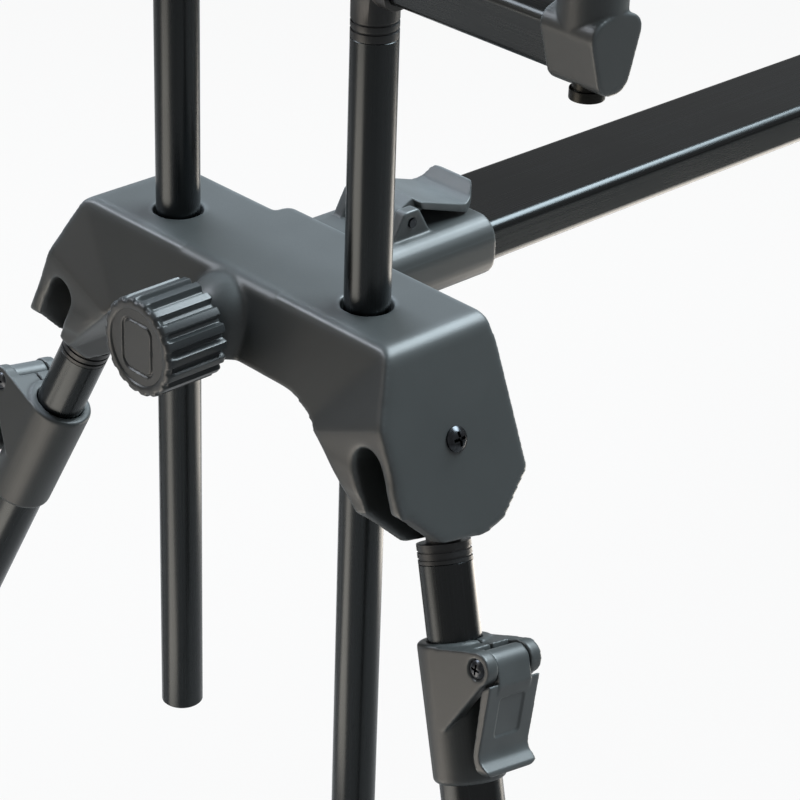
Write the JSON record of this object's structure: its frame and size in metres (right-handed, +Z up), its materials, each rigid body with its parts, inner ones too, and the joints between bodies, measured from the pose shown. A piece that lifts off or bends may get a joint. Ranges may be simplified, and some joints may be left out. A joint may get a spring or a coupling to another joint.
{
  "type": "rod pod",
  "caption": "Adjustable rod pod with moulded heads, folding telescopic legs, a telescopic main bar, and clamped uprights that carry threaded buzz bars.",
  "frame": {"origin": "on the ground, midway between the four feet", "axes": "+X across the pod, +Y along the main bar from the front head to the rear head, +Z up"},
  "size_m": [0.5206, 0.9596, 0.5665],
  "materials": {
    "moulded_nylon": "charcoal glass-filled nylon, satin with a fine moulded grain",
    "anodised_tube": "black anodised aluminium, satin",
    "black_steel": "blackened steel",
    "brass": "blackened brass",
    "rubber": "matt black rubber"
  },
  "bodies": {
    "main_bar": {"main_bar_tube": "anodised_tube", "bar_lever_pins": "black_steel", "bar_clamp_shoes": "black_steel", "front_bar_collar": "moulded_nylon", "rear_bar_collar": "moulded_nylon"},
    "front_bar_lever": {"front_bar_lever": "moulded_nylon"},
    "front_head": {"front_head_body": "moulded_nylon", "front_inner_bar": "anodised_tube", "front_clamp_yoke": "black_steel", "front_clamp_insert": "brass", "front_hinge_screws": "black_steel"},
    "front_knob": {"front_knob": "moulded_nylon", "front_knob_stud": "black_steel"},
    "front_rest": {"front_uprights": "anodised_tube", "front_upright_fittings": "moulded_nylon", "front_buzz_bar": "anodised_tube", "front_buzz_mouldings": "moulded_nylon", "front_buzz_inserts": "brass"},
    "rear_bar_lever": {"rear_bar_lever": "moulded_nylon"},
    "rear_head": {"rear_head_body": "moulded_nylon", "rear_inner_bar": "anodised_tube", "rear_clamp_yoke": "black_steel", "rear_clamp_insert": "brass", "rear_hinge_screws": "black_steel"},
    "rear_knob": {"rear_knob": "moulded_nylon", "rear_knob_stud": "black_steel"},
    "rear_rest": {"rear_uprights": "anodised_tube", "rear_upright_fittings": "moulded_nylon", "rear_buzz_bar": "anodised_tube", "rear_buzz_mouldings": "moulded_nylon", "rear_buzz_inserts": "brass"},
    "front_left_upper_leg": {"front_left_leg_plug": "moulded_nylon", "front_left_upper_tube": "anodised_tube"},
    "front_left_lower_leg": {"front_left_lock_body": "moulded_nylon", "front_left_lower_tube": "anodised_tube", "front_left_lock_screw": "black_steel", "front_left_foot": "rubber"},
    "front_left_leg_lever": {"front_left_leg_lever": "moulded_nylon"},
    "front_right_upper_leg": {"front_right_leg_plug": "moulded_nylon", "front_right_upper_tube": "anodised_tube"},
    "front_right_lower_leg": {"front_right_lock_body": "moulded_nylon", "front_right_lower_tube": "anodised_tube", "front_right_lock_screw": "black_steel", "front_right_foot": "rubber"},
    "front_right_leg_lever": {"front_right_leg_lever": "moulded_nylon"},
    "rear_left_upper_leg": {"rear_left_leg_plug": "moulded_nylon", "rear_left_upper_tube": "anodised_tube"},
    "rear_left_lower_leg": {"rear_left_lock_body": "moulded_nylon", "rear_left_lower_tube": "anodised_tube", "rear_left_lock_screw": "black_steel", "rear_left_foot": "rubber"},
    "rear_left_leg_lever": {"rear_left_leg_lever": "moulded_nylon"},
    "rear_right_upper_leg": {"rear_right_leg_plug": "moulded_nylon", "rear_right_upper_tube": "anodised_tube"},
    "rear_right_lower_leg": {"rear_right_lock_body": "moulded_nylon", "rear_right_lower_tube": "anodised_tube", "rear_right_lock_screw": "black_steel", "rear_right_foot": "rubber"},
    "rear_right_leg_lever": {"rear_right_leg_lever": "moulded_nylon"}
  },
  "joints": [
    {"name": "front_bar_extend", "type": "slide", "parent": "main_bar", "child": "front_head", "axis": [0, -1, 0], "range_m": [0, 0.18]},
    {"name": "front_bar_lever_turn", "type": "hinge", "parent": "main_bar", "child": "front_bar_lever", "pos_m": [0, -0.3375, 0.4024], "axis": [1, 0, 0], "range_deg": [0, 110]},
    {"name": "front_knob_turn", "type": "hinge", "parent": "front_head", "child": "front_knob", "pos_m": [0, -0.4395, 0.3797], "axis": [0, -1, 0], "continuous": true},
    {"name": "front_upright_lift", "type": "slide", "parent": "front_head", "child": "front_rest", "axis": [0, 0, 1], "range_m": [-0.1, 0.19]},
    {"name": "rear_bar_extend", "type": "slide", "parent": "main_bar", "child": "rear_head", "axis": [0, 1, 0], "range_m": [0, 0.18]},
    {"name": "rear_bar_lever_turn", "type": "hinge", "parent": "main_bar", "child": "rear_bar_lever", "pos_m": [0, 0.3375, 0.4024], "axis": [-1, 0, 0], "range_deg": [0, 110]},
    {"name": "rear_knob_turn", "type": "hinge", "parent": "rear_head", "child": "rear_knob", "pos_m": [0, 0.4395, 0.3797], "axis": [0, 1, 0], "continuous": true},
    {"name": "rear_upright_lift", "type": "slide", "parent": "rear_head", "child": "rear_rest", "axis": [0, 0, 1], "range_m": [-0.1, 0.19]},
    {"name": "front_left_leg_fold", "type": "hinge", "parent": "front_head", "child": "front_left_upper_leg", "pos_m": [-0.09829, -0.4, 0.35514], "axis": [0.9205, 0, -0.3907], "range_deg": [0, 99.6]},
    {"name": "front_left_leg_extend", "type": "slide", "parent": "front_left_upper_leg", "child": "front_left_lower_leg", "axis": [0.3853, 0.1668, 0.9076], "range_m": [-0.17, 0.028]},
    {"name": "front_left_leg_lever_turn", "type": "hinge", "parent": "front_left_lower_leg", "child": "front_left_leg_lever", "pos_m": [-0.15585, -0.41337, 0.28496], "axis": [-0.0169, 0.9846, -0.1737], "range_deg": [0, 115]},
    {"name": "front_right_leg_fold", "type": "hinge", "parent": "front_head", "child": "front_right_upper_leg", "pos_m": [0.09829, -0.4, 0.35514], "axis": [0.9205, 0, 0.3907], "range_deg": [0, 99.6]},
    {"name": "front_right_leg_extend", "type": "slide", "parent": "front_right_upper_leg", "child": "front_right_lower_leg", "axis": [-0.3853, 0.1668, 0.9076], "range_m": [-0.17, 0.028]},
    {"name": "front_right_leg_lever_turn", "type": "hinge", "parent": "front_right_lower_leg", "child": "front_right_leg_lever", "pos_m": [0.15585, -0.41337, 0.28496], "axis": [-0.0169, -0.9846, 0.1737], "range_deg": [0, 115]},
    {"name": "rear_left_leg_fold", "type": "hinge", "parent": "rear_head", "child": "rear_left_upper_leg", "pos_m": [-0.09829, 0.4, 0.35514], "axis": [-0.9205, 0, 0.3907], "range_deg": [0, 99.6]},
    {"name": "rear_left_leg_extend", "type": "slide", "parent": "rear_left_upper_leg", "child": "rear_left_lower_leg", "axis": [0.3853, -0.1668, 0.9076], "range_m": [-0.17, 0.028]},
    {"name": "rear_left_leg_lever_turn", "type": "hinge", "parent": "rear_left_lower_leg", "child": "rear_left_leg_lever", "pos_m": [-0.15585, 0.41337, 0.28496], "axis": [0.0169, 0.9846, 0.1737], "range_deg": [0, 115]},
    {"name": "rear_right_leg_fold", "type": "hinge", "parent": "rear_head", "child": "rear_right_upper_leg", "pos_m": [0.09829, 0.4, 0.35514], "axis": [-0.9205, 0, -0.3907], "range_deg": [0, 99.6]},
    {"name": "rear_right_leg_extend", "type": "slide", "parent": "rear_right_upper_leg", "child": "rear_right_lower_leg", "axis": [-0.3853, -0.1668, 0.9076], "range_m": [-0.17, 0.028]},
    {"name": "rear_right_leg_lever_turn", "type": "hinge", "parent": "rear_right_lower_leg", "child": "rear_right_leg_lever", "pos_m": [0.15585, 0.41337, 0.28496], "axis": [0.0169, -0.9846, -0.1737], "range_deg": [0, 115]}
  ]
}
